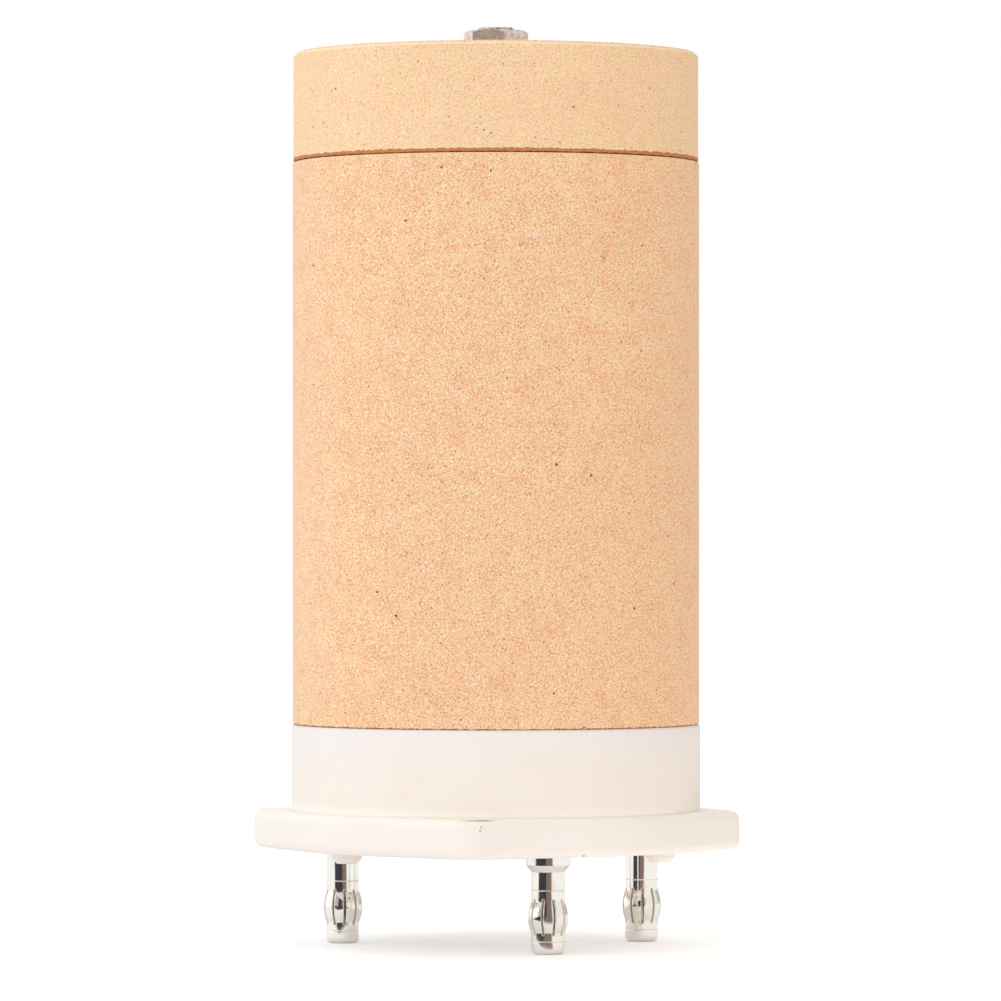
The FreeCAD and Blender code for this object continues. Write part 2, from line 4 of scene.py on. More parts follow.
import bpy
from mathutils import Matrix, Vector


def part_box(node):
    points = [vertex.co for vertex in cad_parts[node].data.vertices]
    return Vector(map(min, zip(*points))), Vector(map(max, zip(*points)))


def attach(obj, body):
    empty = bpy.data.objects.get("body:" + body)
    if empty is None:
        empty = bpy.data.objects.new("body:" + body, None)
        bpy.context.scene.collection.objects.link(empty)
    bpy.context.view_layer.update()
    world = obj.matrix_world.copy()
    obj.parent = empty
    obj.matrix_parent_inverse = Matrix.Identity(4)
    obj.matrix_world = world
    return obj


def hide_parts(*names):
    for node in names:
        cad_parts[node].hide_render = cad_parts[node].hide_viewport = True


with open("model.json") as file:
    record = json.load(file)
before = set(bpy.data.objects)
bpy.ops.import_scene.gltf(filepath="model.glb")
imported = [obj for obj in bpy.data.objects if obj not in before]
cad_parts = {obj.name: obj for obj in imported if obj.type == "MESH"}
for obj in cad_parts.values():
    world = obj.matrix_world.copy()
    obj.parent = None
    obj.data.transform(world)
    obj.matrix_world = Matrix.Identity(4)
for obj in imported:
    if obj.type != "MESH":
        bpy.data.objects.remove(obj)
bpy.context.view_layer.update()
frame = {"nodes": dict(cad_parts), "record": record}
mm = 0.001


def linear(code):  # sRGB hex colour to linear RGBA
    parts = [int(code[i:i + 2], 16) / 255 for i in (1, 3, 5)]
    return [p / 12.92 if p <= 0.04045 else ((p + 0.055) / 1.055) ** 2.4 for p in parts] + [1.0]


def addNode(tree, kind, sockets=(), **settings):  # a node with its settings, then its values and links
    node = tree.nodes.new("ShaderNode" + kind)
    for name, value in settings.items():
        setattr(node, name, value)
    if not isinstance(sockets, dict):  # a list fills the first sockets in turn
        sockets = dict(enumerate(sockets))
    for key, value in sockets.items():
        if isinstance(value, bpy.types.Node):  # a node is linked by its first output in use
            value = next(output for output in value.outputs if output.enabled)
        if isinstance(value, bpy.types.NodeSocket):
            tree.links.new(value, node.inputs[key])
        else:
            node.inputs[key].default_value = value
    return node


smooth = {"interpolation_type": "SMOOTHSTEP"}  # a Map Range that eases in and out
inColour = {"data_type": "RGBA"}  # a Mix of two colours, in its sockets 6 and 7


def newMaterial(name):  # an empty material and the object's own coordinates
    material = bpy.data.materials.new(name)
    material.use_nodes = True
    tree = material.node_tree
    tree.nodes.clear()
    place = addNode(tree, "TexCoord").outputs["Object"]
    return material, tree, place


def patternScale(sizeMm):  # scale of a pattern whose lumps are about this many millimetres
    return 1 / (sizeMm * mm)


def overlay(tree, tone, colour, pattern, limits, strengths=(0, 1)):
    # lays a colour over a tone, from one strength at a pattern's first limit to another at its second
    reach = addNode(tree, "MapRange", [pattern, *limits, *strengths], **smooth)
    return addNode(tree, "Mix", {0: reach, 6: tone, 7: colour}, **inColour)


def between(tree, value, rise, fall, strength=1):  # comes over one stretch of a value, goes over a later one
    comes = addNode(tree, "MapRange", [value, *rise], **smooth)
    goes = addNode(tree, "MapRange", [value, *fall, strength, 0], **smooth)
    return addNode(tree, "Math", [comes, goes], operation="MULTIPLY")


def nearMark(tree, place, mark):  # 1 inside a small mark on the surface, fading out at its edge
    centre, size, edge = mark
    stretched = addNode(tree, "Mapping", {
        "Vector": place, "Location": centre, "Scale": [s * mm for s in size],
    }, vector_type="TEXTURE")
    away = addNode(tree, "VectorMath", [stretched], operation="LENGTH").outputs["Value"]
    return addNode(tree, "MapRange", [away, 1 - edge, 1, 1, 0], **smooth)


# places on the photograph, for the camera and for marks on the front
photo = {
    "distance": 804 * mm,  # camera to the tie rod's axis
    "height": 51.5 * mm,  # camera above the pin tips
    "frame": 1001,  # width and height in pixels
    "pixels": 6608,  # focal length in pixels of that frame
    "axisX": 495.9,  # where the rod's axis and the horizon fall
    "horizonY": 521,
    "sensorMm": 36,
}


def frontPoint(x, y, radiusMm):  # the point of an upright cylinder that the photograph shows at a pixel
    across = (x - photo["axisX"]) / photo["pixels"]
    radius = radiusMm * mm
    a = 1 + across ** 2
    b = -2 * across ** 2 * photo["distance"]
    c = (across * photo["distance"]) ** 2 - radius ** 2
    forward = (-b - math.sqrt(b * b - 4 * a * c)) / (2 * a)  # along +Y, from the axis
    depth = photo["distance"] + forward
    side = across * depth
    up = photo["height"] - (y - photo["horizonY"]) / photo["pixels"] * depth
    return (side, forward, up)


# materials
blockLook = {
    "colour": "#ffcb99", "pale": "#fff0d6", "dark": "#d6935a", "pink": "#fcb880", "yellow": "#ffd398",
    "grit": 0.93, "grainMm": 0.185, "mottleMm": 2.4, "cloudMm": 14, "roughness": 0.6, "radiusMm": 24.72,
    "specks": (0.7, 0.145, "#a5672f", 0.72),  # one in every so many mm, radius in mm, colour, strength
    "pits": (2.6, 0.2, "#5c2c06", 0.9),
    "chipMm": 0.6,
    "bands": [(26.8, 0.13, 0.1, "#7d4e27", 0.75)],  # a painted shadow line in the joint gap at the block's foot: height, width and ragged edge in mm, colour, strength
    "rim": (94.85, "#ffe2b6"),  # a painted highlight along the upper corner: height in mm, colour
    "marks": [  # pits that the photograph shows: pixel, radius in mm
        ((441.7, 167.2), 0.21), ((490.8, 170.4), 0.18), ((416.7, 173.7), 0.1), ((467.7, 203.2), 0.11),
        ((584.9, 327.2), 0.12), ((624.8, 333.4), 0.12), ((580, 349), 0.12), ((651.8, 338), 0.11),
        ((597.7, 352), 0.1), ((614.9, 166.2), 0.15), ((488.4, 727), 0.1), ((660.8, 724.8), 0.13),
        ((357, 708), 0.13), ((444.4, 712.2), 0.16), ((507, 378), 0.13), ((582, 553), 0.13),
        ((596, 544), 0.12), ((528, 448), 0.12), ((586, 225), 0.12),
    ],
    "worn": "#fbe6d8",
    "smears": [  # pale rubbed places: pixel, then size in mm
        ((567, 193), (0.5, 0.5, 0.3)), ((535, 235), (0.35, 0.35, 0.5)),
        ((639, 348), (0.7, 0.7, 1.1)), ((655, 405), (0.6, 0.6, 0.7)),
    ],
}
capLook = {
    "colour": "#ffd4a4", "pale": "#fff0cf", "dark": "#e0a872", "pink": "#ffcba2", "yellow": "#ffd99f",
    "grit": 0.7, "grainMm": 0.2, "mottleMm": 2.2, "cloudMm": 11, "roughness": 0.6, "radiusMm": 24.62,
    "specks": (0.85, 0.14, "#b17643", 0.75),
    "pits": (1.7, 0.19, "#7a4a1c", 0.8),
    "chipMm": 0.6,
    # scorched stain on the lower chamfer; the narrowest, darkest band is a painted shadow line in the joint
    # gap
    "bands": [(95.05, 0.5, 0.09, "#9c5a22", 0.85), (95.05, 0.38, 0.09, "#d18548", 0.95),
              (95.05, 0.12, 0.06, "#552603", 0.95)],
    # a painted highlight along the upper corner: height in mm, colour
    "rim": (107.86, "#fff0cf"),
    "marks": [
        ((483.9, 129.7), 0.16), ((491, 132.6), 0.15), ((476.7, 127.4), 0.12), ((480.1, 116.9), 0.1),
        ((407, 124.2), 0.09), ((455, 140.8), 0.09), ((338.5, 145.6), 0.11),
    ],
    "worn": "#fbe6d8",
    "smears": [((357, 152.6), (0.45, 0.45, 0.2))],
}


def scattered(tree, place, everyMm, radiusMm):  # small round spots, one in every so many millimetres
    cells = addNode(tree, "TexVoronoi", {"Vector": place, "Scale": patternScale(everyMm)})
    chosen = addNode(tree, "SeparateColor", [cells.outputs["Color"]])
    reach = addNode(tree, "Math", [chosen, radiusMm / everyMm], operation="MULTIPLY")
    rim = addNode(tree, "Math", [cells.outputs["Distance"], reach], operation="DIVIDE")
    return addNode(tree, "MapRange", [rim, 0.6, 1.1, 1, 0], **smooth)


def cordierite(name, look):
    # Cordierite, dry pressed and kiln fired: a dry, sandy, warm tan with darker and paler grains
    # and a few pits, scorched and chipped along its joint line; a painted shadow line lies in the joint gap
    # and a painted highlight along the upper corner.
    material, tree, place = newMaterial(name)
    turned = addNode(tree, "Mapping", {"Vector": place, "Rotation": (0.6, 0.5, 0.4)})
    grain = addNode(tree, "TexNoise", {  # grit, drawn as coarse as it needs to show
        "Vector": turned, "Scale": patternScale(look["grainMm"]), "Detail": 1, "Roughness": 0.6,
    })
    mottle = addNode(tree, "TexNoise", {
        "Vector": turned, "Scale": patternScale(look["mottleMm"]), "Detail": 3,
    })
    cloud = addNode(tree, "TexNoise", {"Vector": place, "Scale": patternScale(look["cloudMm"])})
    tone = overlay(tree, linear(look["colour"]), linear(look["pink"]), mottle, (0.5, 0.72), (0, 0.65))
    tone = overlay(tree, tone, linear(look["yellow"]), mottle, (0.5, 0.28), (0, 0.8))
    tone = overlay(tree, tone, linear(look["dark"]), cloud, (0.35, 0.75), (0.1, 0))
    tone = overlay(tree, tone, linear(look["pale"]), grain, (0.5, 0.74), (0, look["grit"]))
    tone = overlay(tree, tone, linear(look["dark"]), grain, (0.5, 0.26), (0, look["grit"]))

    everyMm, radiusMm, colour, strength = look["specks"]
    speck = scattered(tree, turned, everyMm, radiusMm)
    shown = addNode(tree, "Math", [speck, strength], operation="MULTIPLY")
    tone = addNode(tree, "Mix", {0: shown, 6: tone, 7: linear(colour)}, **inColour)
    everyMm, radiusMm, colour, strength = look["pits"]
    pit = scattered(tree, turned, everyMm, radiusMm)
    for pixel, size in look["marks"]:
        mark = nearMark(tree, place, (frontPoint(*pixel, look["radiusMm"]), (size, size, size), 0.5))
        pit = addNode(tree, "Math", [pit, mark], operation="MAXIMUM")
    shown = addNode(tree, "Math", [pit, strength], operation="MULTIPLY")
    tone = addNode(tree, "Mix", {0: shown, 6: tone, 7: linear(colour)}, **inColour)

    height = addNode(tree, "SeparateXYZ", [place]).outputs["Z"]
    chips = addNode(tree, "TexNoise", {
        "Vector": place, "Scale": patternScale(look["chipMm"]), "Detail": 3, "Roughness": 0.7,
    })
    matt = pit
    # each band is a scorched stain, or a painted shadow line in the joint gap
    for level, width, ragged, colour, strength in look["bands"]:
        above = addNode(tree, "Math", [height, level * mm], operation="SUBTRACT")
        wander = addNode(tree, "MapRange", [chips, 0.3, 0.7, -ragged * mm, ragged * mm], **smooth)
        edge = addNode(tree, "Math", [above, wander], operation="ADD")
        band = addNode(tree, "MapRange", [
            edge, (width - 0.04) * mm, (width + 0.04) * mm, strength, 0,
        ], **smooth)
        tone = addNode(tree, "Mix", {0: band, 6: tone, 7: linear(colour)}, **inColour)
        matt = addNode(tree, "Math", [matt, band], operation="MAXIMUM")
    # a painted highlight along the upper corner
    level, colour = look["rim"]
    rim = addNode(tree, "Math", [height, level * mm], operation="SUBTRACT")
    paintedEdgeHighlight = between(tree, rim, (-0.04 * mm, 0.04 * mm), (0.16 * mm, 0.24 * mm), 0.7)
    tone = addNode(tree, "Mix", {0: paintedEdgeHighlight, 6: tone, 7: linear(colour)}, **inColour)
    for pixel, size in look["smears"]:
        mark = nearMark(tree, place, (frontPoint(*pixel, look["radiusMm"]), size, 0.6))
        broken = addNode(tree, "MapRange", [grain, 0.3, 0.6, 0.2, 0.75], **smooth)
        worn = addNode(tree, "Math", [mark, broken], operation="MULTIPLY")
        tone = addNode(tree, "Mix", {0: worn, 6: tone, 7: linear(look["worn"])}, **inColour)

    raised = addNode(tree, "Math", [grain, 0.6], operation="MULTIPLY")
    sunk = addNode(tree, "Math", [pit, speck], operation="MAXIMUM")
    relief = addNode(tree, "Math", [raised, sunk], operation="SUBTRACT")
    bump = addNode(tree, "Bump", {"Height": relief, "Strength": 0.3, "Distance": 0.05 * mm})
    gloss = addNode(tree, "MapRange", [matt, 0, 1, 0.9, 0.1], **smooth)
    shader = addNode(tree, "BsdfPrincipled", {
        "Base Color": tone, "Roughness": look["roughness"], "IOR": 1.45, "Specular IOR Level": gloss,
        "Normal": bump,
    })
    addNode(tree, "OutputMaterial", {"Surface": shader})
    return material


steatiteLook = {
    "colour": "#f9efe4", "warm": "#f8e6d6", "roughness": 0.5,
    "cloudMm": 9, "speckMm": 0.5, "sheenMm": 3, "waveMm": 1.2, "edgeMm": 0.35,
    "levels": [  # heights in mm where a tone comes and goes, and its colour
        ((10.0, 10.5), (15.4, 16.2), "#fbf2ea"),  # flange
        ((15.3, 16.1), (16.6, 17.9), "#fff8ec"),  # foot of the collar, painted paler for the light the flange throws up onto it
        ((21.0, 26.0), (30.0, 31.0), "#f6eee9"),  # upper part of the collar
    ],
    "marks": [  # pixel, radius of the face in mm, size in mm, colour, strength
        ((479, 820.8), 28.4, (2.9, 1.5, 0.11), "#7d6f64", 0.95),
        ((481.3, 827.5), 29.2, (0.12, 0.5, 0.24), "#84766a", 0.9),
        ((480, 831), 29.3, (0.14, 0.5, 0.16), "#8a7c6e", 0.85),
        ((599.3, 840.3), 25.8, (0.13, 0.5, 0.17), "#6f6253", 0.9),
        ((600.5, 846), 25.8, (0.15, 0.5, 0.36), "#8d7c68", 0.85),
        ((602, 849), 25.8, (0.1, 0.4, 0.14), "#a09180", 0.8),
        ((576.3, 812.3), 24.85, (0.13, 0.3, 0.13), "#9a7c5e", 0.85),
        ((664, 812), 24.85, (0.2, 0.5, 0.2), "#cfb08c", 0.8),
        ((583.5, 855.6), 25.4, (0.33, 0.6, 0.17), "#7b6d60", 0.9),
    ],
}


def steatite(name, look):
    # Steatite, moulded and fired unglazed: a dense ivory with a dull sheen, faintly clouded,
    # with a few grey scuffs, and painted light at the foot of the collar.
    material, tree, place = newMaterial(name)
    cloud = addNode(tree, "TexNoise", {"Vector": place, "Scale": patternScale(look["cloudMm"]), "Detail": 3})
    speck = addNode(tree, "TexNoise", {"Vector": place, "Scale": patternScale(look["speckMm"])})
    tone = overlay(tree, linear(look["colour"]), linear(look["warm"]), cloud, (0.35, 0.75), (0, 0.5))
    tone = overlay(tree, tone, linear(look["warm"]), speck, (0.6, 0.8), (0, 0.25))
    height = addNode(tree, "SeparateXYZ", [place]).outputs["Z"]
    # tones by height; the one at the collar's foot is painted light thrown up from the flange
    for comes, goes, colour in look["levels"]:
        there = between(tree, height, [c * mm for c in comes], [g * mm for g in goes], 0.85)
        tone = addNode(tree, "Mix", {0: there, 6: tone, 7: linear(colour)}, **inColour)
    for pixel, radius, size, colour, strength in look["marks"]:
        mark = nearMark(tree, place, (frontPoint(*pixel, radius), size, 0.7))
        broken = addNode(tree, "MapRange", [speck, 0.3, 0.55, 0.5, 1], **smooth)
        scuff = addNode(tree, "Math", [mark, broken], operation="MULTIPLY")
        scuff = addNode(tree, "Math", [scuff, strength], operation="MULTIPLY")
        tone = addNode(tree, "Mix", {0: scuff, 6: tone, 7: linear(colour)}, **inColour)
    sheen = addNode(tree, "TexNoise", {"Vector": place, "Scale": patternScale(look["sheenMm"]), "Detail": 3})
    dull = addNode(tree, "MapRange", [
        sheen, 0.3, 0.7, look["roughness"] - 0.06, look["roughness"] + 0.08,
    ], **smooth)
    waves = addNode(tree, "TexNoise", {"Vector": place, "Scale": patternScale(look["waveMm"]), "Detail": 3})
    edge = addNode(tree, "Bevel", {"Radius": look["edgeMm"] * mm}, samples=6)
    bump = addNode(tree, "Bump", {"Height": waves, "Strength": 0.12, "Distance": 0.04 * mm, "Normal": edge})
    shader = addNode(tree, "BsdfPrincipled", {
        "Base Color": tone, "Roughness": dull, "Specular IOR Level": 0.35, "Normal": bump,
    })
    addNode(tree, "OutputMaterial", {"Surface": shader})
    return material


platedLook = {
    "ringMm": 0.12, "ringStretch": 0.05,  # turning marks, drawn coarser than they are so that they show
    "hazeMm": 1.6, "haze": "#f0dcc0", "edgeMm": 0.16, "hiddenMm": 0.6,
}


def platedBrass(name, colour, roughness):
    # Silver-plated brass, turned: bright, with faint rings from the lathe, and dull inside the spring cage.
    material, tree, place = newMaterial(name)
    look = platedLook
    squeezed = addNode(tree, "Mapping", {
        "Vector": place, "Scale": (look["ringStretch"], look["ringStretch"], 1),
    })
    rings = addNode(tree, "TexNoise", {"Vector": squeezed, "Scale": patternScale(look["ringMm"])})
    haze = addNode(tree, "TexNoise", {"Vector": place, "Scale": patternScale(look["hazeMm"]), "Detail": 3})
    tone = overlay(tree, linear(colour), linear(look["haze"]), haze, (0.55, 0.75), (0, 0.5))
    dull = addNode(tree, "MapRange", [haze, 0.4, 0.75, roughness, roughness + 0.07], **smooth)

    height = addNode(tree, "SeparateXYZ", [place]).outputs["Z"]
    above = addNode(tree, "Math", [height, cageLow.z], operation="GREATER_THAN")
    below = addNode(tree, "Math", [height, cageHigh.z], operation="LESS_THAN")
    under = addNode(tree, "Math", [above, below], operation="MULTIPLY")
    openness = addNode(tree, "AmbientOcclusion", {"Distance": look["hiddenMm"] * mm}, samples=8).outputs["AO"]
    hidden = addNode(tree, "MapRange", [openness, 0.65, 0.9, 0.95, 0], **smooth)
    under = addNode(tree, "Math", [under, hidden], operation="MULTIPLY")
    metallic = addNode(tree, "Math", [1, under], operation="SUBTRACT")
    rougher = addNode(tree, "Math", [under, 0.5], operation="MULTIPLY")
    dull = addNode(tree, "Math", [dull, rougher], operation="ADD")

    edge = addNode(tree, "Bevel", {"Radius": look["edgeMm"] * mm}, samples=6)
    bump = addNode(tree, "Bump", {"Height": rings, "Strength": 0.08, "Distance": 0.01 * mm, "Normal": edge})
    shader = addNode(tree, "BsdfPrincipled", {
        "Base Color": tone, "Metallic": metallic, "Roughness": dull, "Normal": bump,
    })
    addNode(tree, "OutputMaterial", {"Surface": shader})
    return material


steelLook = {
    "patchMm": 0.7, "lineMm": 0.14, "lineTurn": (0.3, 0.2, 0.7), "lineStretch": (1, 0.06, 0.4),
    "grime": "#6b5a4d", "edgeMm": 0.1,
}


def plainSteel(name, colour, dark, roughness, scratchMm=0.03):
    # Steel, pressed, plated or hammered, and handled: grey with dull brown patches and fine scratches.
    material, tree, place = newMaterial(name)
    look = steelLook
    patch = addNode(tree, "TexNoise", {
        "Vector": place, "Scale": patternScale(look["patchMm"]), "Detail": 4, "Roughness": 0.65,
    })
    scratch = addNode(tree, "Mapping", {
        "Vector": place, "Rotation": look["lineTurn"], "Scale": look["lineStretch"],
    })
    lines = addNode(tree, "TexNoise", {"Vector": scratch, "Scale": patternScale(look["lineMm"])})
    tone = overlay(tree, linear(colour), linear(dark), patch, (0.4, 0.68), (0, 0.75))
    tone = overlay(tree, tone, linear(look["grime"]), lines, (0.6, 0.72), (0, 0.35))
    dull = addNode(tree, "MapRange", [patch, 0.3, 0.7, roughness, roughness + 0.2], **smooth)
    edge = addNode(tree, "Bevel", {"Radius": look["edgeMm"] * mm}, samples=4)
    bump = addNode(tree, "Bump", {
        "Height": lines, "Strength": 0.5, "Distance": scratchMm * mm, "Normal": edge,
    })
    shader = addNode(tree, "BsdfPrincipled", {
        "Base Color": tone, "Metallic": 1.0, "Roughness": dull, "Normal": bump,
    })
    addNode(tree, "OutputMaterial", {"Surface": shader})
    return material


wireLook = {"burntMm": 4, "colour": "#6f6a66", "burnt": "#7c6453"}


def resistanceWire(name):
    # Iron-chromium-aluminium wire, drawn and heat-oxidised: dark grey, nearly matt,
    # browner where it ran hot.
    material, tree, place = newMaterial(name)
    burnt = addNode(tree, "TexNoise", {"Vector": place, "Scale": patternScale(wireLook["burntMm"])})
    tone = overlay(tree, linear(wireLook["colour"]), linear(wireLook["burnt"]), burnt, (0.4, 0.65))
    dull = addNode(tree, "MapRange", [burnt, 0.3, 0.7, 0.42, 0.6], **smooth)
    shader = addNode(tree, "BsdfPrincipled", {"Base Color": tone, "Metallic": 0.75, "Roughness": dull})
    addNode(tree, "OutputMaterial", {"Surface": shader})
    return material


cageLow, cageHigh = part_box("spring_cage_front")
slotMaterials = {
    "block_ceramic": cordierite("CordieriteDryPressedOrange", blockLook),
    "cap_ceramic": cordierite("CordieriteDryPressedYellow", capLook),
    "base_ceramic": steatite("SteatiteMoulded", steatiteLook),
    "fastener_steel": plainSteel("SteelZincPlated", "#ebe1d9", "#c3b2a5", 0.34, 0.02),
    "terminal_steel": plainSteel("SteelPressedSheet", "#b5b0a8", "#928a82", 0.38),
    "plated_brass": platedBrass("BrassSilverPlatedTurned", "#f9f6f1", 0.05),
    "plated_spring": platedBrass("SpringBronzeSilverPlated", "#f9f5ee", 0.07),
    "resistance_wire": resistanceWire("ResistanceWireOxidised"),
}
slotOfNode = {s["node"]: s["material_slot"] for s in frame["record"]["subparts"]}
for name, node in frame["nodes"].items():
    node.data.materials.clear()
    node.data.materials.append(slotMaterials[slotOfNode[name]])
print("materials set on", len(frame["nodes"]), "nodes")


def deselect():
    bpy.ops.object.select_all(action="DESELECT")


def choose(*objects):  # selects these objects alone, the first one active
    deselect()
    for one in objects:
        one.select_set(True)
    bpy.context.view_layer.objects.active = objects[0]


def applyPlace(piece):  # puts the piece's place into its mesh
    choose(piece)
    bpy.ops.object.transform_apply(location=True, rotation=True, scale=True)


def applyModifiers(piece):
    choose(piece)
    for modifier in list(piece.modifiers):
        bpy.ops.object.modifier_apply(modifier=modifier.name)


def polar(reachMm, degrees):
    return Vector((math.cos(math.radians(degrees)), math.sin(math.radians(degrees)), 0)) * reachMm * mm


# heating coils, wound and led to their tags
blockLow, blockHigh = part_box("main_block")
coilMake = {
    "wireMm": 0.7, "outerMm": 4.8, "pitchMm": 1.55, "turnSteps": 12, "wireSides": 6,
    "outer": (16, 19.4, -14), "inner": (8, 11.6, 4.5),  # channels, their ring's radius, first direction
    "turnDegrees": 37,  # how far each coil is turned on from the one before
    "liftMm": 1.0, "crossBend": 0.15, "crossRise": 0.8,  # wire from one channel to the next
    "leadDropMm": 1.85, "leadBend": 0.12,
    "tabMm": 15.15, "tabTipMm": 0.65, "tabSideMm": 1.25, "besideMm": 3,  # where a lead ends at its tag
    "front": -71, "right": 20, "left": 170,  # directions of the pins and their tags
}


def ringPlaces(ring):
    count, radius, start = ring
    return [polar(radius, start + k * 360 / count) for k in range(count)]


def zigzag(outer, inner):
    route = []
    for k, place in enumerate(inner):
        route += [outer[2 * k], place, outer[2 * k + 1]]
    return route


def windCoil():  # one coil: a round wire section turned and lifted along a channel
    length = blockHigh.z - blockLow.z
    turns = int(length / (coilMake["pitchMm"] * mm))
    lift = length / turns
    reach = (coilMake["outerMm"] - coilMake["wireMm"]) / 2 * mm
    deselect()
    bpy.ops.mesh.primitive_circle_add(
        vertices=coilMake["wireSides"], radius=coilMake["wireMm"] / 2 * mm,
        location=(reach, 0, 0), rotation=(math.pi / 2, 0, 0),
    )
    coil = bpy.context.object
    applyPlace(coil)
    screw = coil.modifiers.new("winding", "SCREW")
    screw.axis = "Z"
    screw.angle = math.tau
    screw.screw_offset = lift
    screw.iterations = turns
    screw.steps = screw.render_steps = coilMake["turnSteps"]
    applyModifiers(coil)
    bpy.ops.object.mode_set(mode="EDIT")
    bpy.ops.mesh.select_all(action="SELECT")
    bpy.ops.mesh.fill_holes(sides=coilMake["wireSides"])
    bpy.ops.mesh.select_all(action="SELECT")
    bpy.ops.mesh.normals_make_consistent(inside=False)
    bpy.ops.object.mode_set(mode="OBJECT")
    bpy.ops.object.shade_smooth()
    return coil, reach


def wireThrough(points):  # a bent wire along a few points
    curve = bpy.data.curves.new("lead", "CURVE")
    curve.dimensions = "3D"
    curve.bevel_depth = coilMake["wireMm"] / 2 * mm
    curve.bevel_resolution = 1
    curve.resolution_u = 4
    curve.use_fill_caps = True
    spline = curve.splines.new("BEZIER")
    spline.bezier_points.add(len(points) - 1)
    for bend, place in zip(spline.bezier_points, points):
        bend.co = place
        bend.handle_left_type = bend.handle_right_type = "AUTO"
    wire = bpy.data.objects.new("lead", curve)
    bpy.context.collection.objects.link(wire)
    choose(wire)
    bpy.ops.object.convert(target="MESH")
    return bpy.context.object


def circuit(letter, route, firstPin, lastPin):
    parts = []
    ends = []  # the wire's lower and upper end in each channel
    for k, centre in enumerate(route):
        one = firstCoil.copy()
        one.data = firstCoil.data.copy()
        bpy.context.collection.objects.link(one)
        one.rotation_euler.z = math.radians(coilMake["turnDegrees"] * k)
        one.location = (centre.x, centre.y, blockLow.z)
        applyPlace(one)
        parts.append(one)
        ends.append(centre + polar(coilReach / mm, coilMake["turnDegrees"] * k))
    lift = Vector((0, 0, coilMake["liftMm"] * mm))
    bottom = Vector((0, 0, blockLow.z))
    top = Vector((0, 0, blockHigh.z))
    bend, rise = coilMake["crossBend"], coilMake["crossRise"]
    for k in range(len(route) - 1):
        a, b = ends[k], ends[k + 1]
        if k % 2 == 0:
            level, bow = top, lift
        else:
            level, bow = bottom, -lift
        parts.append(wireThrough([a + level, a.lerp(b, bend) + level + bow * rise, (a + b) / 2 + level + bow,
                                  a.lerp(b, 1 - bend) + level + bow * rise, b + level]))
    drop = Vector((0, 0, blockLow.z - coilMake["leadDropMm"] * mm))
    for end, pin in ((ends[0], firstPin), (ends[-1], lastPin)):
        radial = polar(1, pin) / mm
        across = Vector((-radial.y, radial.x, 0))
        beside = end.dot(across)
        if abs(beside) < coilMake["besideMm"] * mm:  # the lead comes straight at the tag
            tab = radial * (coilMake["tabMm"] + coilMake["tabTipMm"]) * mm
        else:
            aside = math.copysign(coilMake["tabSideMm"] * mm, beside)
            tab = radial * coilMake["tabMm"] * mm + across * aside
        parts.append(wireThrough([end + bottom, end.lerp(tab, coilMake["leadBend"]) + drop, tab + drop]))
    choose(*parts)
    bpy.ops.object.join()
    piece = bpy.context.object
    piece.name = piece.data.name = "coil_winding_" + letter
    applyPlace(piece)
    piece.data.materials.clear()
    piece.data.materials.append(slotMaterials["resistance_wire"])
    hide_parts("heating_coil_" + letter)
    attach(piece, "root")
    return piece


firstCoil, coilReach = windCoil()
outerPlaces = ringPlaces(coilMake["outer"])
innerPlaces = ringPlaces(coilMake["inner"])
circuitA = circuit("a", zigzag(outerPlaces[:8], innerPlaces[:4]), coilMake["right"], coilMake["left"])
circuitB = circuit("b", zigzag(outerPlaces[:7:-1], innerPlaces[:3:-1]), coilMake["front"], coilMake["left"])
bpy.data.objects.remove(firstCoil)
print("coils wound:", len(circuitA.data.polygons), "and", len(circuitB.data.polygons), "faces")


# tie rod with its thread and peened end
rodLow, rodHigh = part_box("tie_rod")
rodMake = {
    "radiusMm": 2.0, "sides": 48, "pitchMm": 0.7, "threadMm": 4.2, "steps": 32, "taper": 0.82,
    "headMm": 0.5, "swell": 1.09, "insets": 6, "insetMm": 0.31, "hammerMm": 0.26, "lumpMm": 0.8,
}


def pick(piece, wanted):  # selects the vertices whose place is wanted, in edit mode
    bpy.ops.mesh.select_all(action="DESELECT")
    bpy.ops.object.mode_set(mode="OBJECT")
    for vertex in piece.data.vertices:
        vertex.select = wanted(vertex.co)
    bpy.ops.object.mode_set(mode="EDIT")


